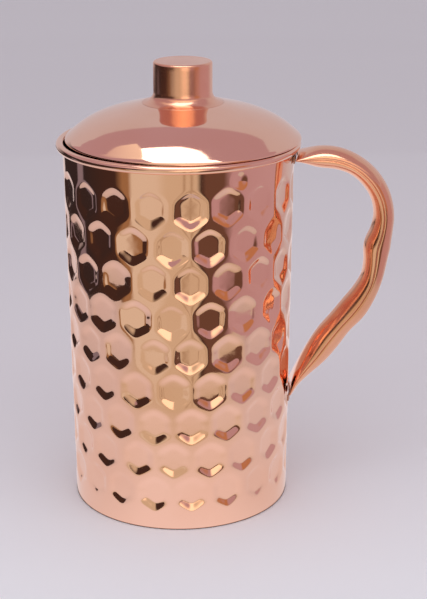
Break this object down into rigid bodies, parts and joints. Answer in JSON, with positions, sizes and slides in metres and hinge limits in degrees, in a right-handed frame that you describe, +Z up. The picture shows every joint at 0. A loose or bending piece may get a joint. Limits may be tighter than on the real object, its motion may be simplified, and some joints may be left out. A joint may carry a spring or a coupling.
{
  "type": "copper water jug",
  "caption": "Dimpled copper water jug with a curled rim, hollow pressed handle and a loose domed lid with a turned knob.",
  "frame": {"origin": "centre of the base's flat underside, on the surface the jug stands on", "axes": "+Z up along the jug's axis, +X from the axis out through the handle, +Y completes a right-handed frame"},
  "size_m": [0.1594, 0.115, 0.2137],
  "materials": {
    "polished_copper": "mirror-polished bare copper",
    "copper_wire": "drawn copper wire",
    "solder": "dull tin solder",
    "fastener_steel": "plain zinc-plated steel"
  },
  "bodies": {
    "jug": {"body_wall": "polished_copper", "rim_wire": "copper_wire", "base_pan": "polished_copper", "base_solder_bead": "solder", "handle_outer_shell": "polished_copper", "handle_inner_shell": "polished_copper", "handle_upper_braze": "solder", "handle_lower_braze": "solder"},
    "lid": {"lid_dome": "polished_copper", "lid_collar": "polished_copper", "collar_solder_bead": "solder", "knob_shell": "polished_copper", "knob_plate": "polished_copper", "knob_nut": "fastener_steel", "knob_screw": "fastener_steel", "screw_washer": "fastener_steel"}
  },
  "joints": [
    {"name": "lid_lift", "type": "slide", "parent": "jug", "child": "lid", "axis": [0, 0, 1], "range_m": [0, 0.08]}
  ]
}
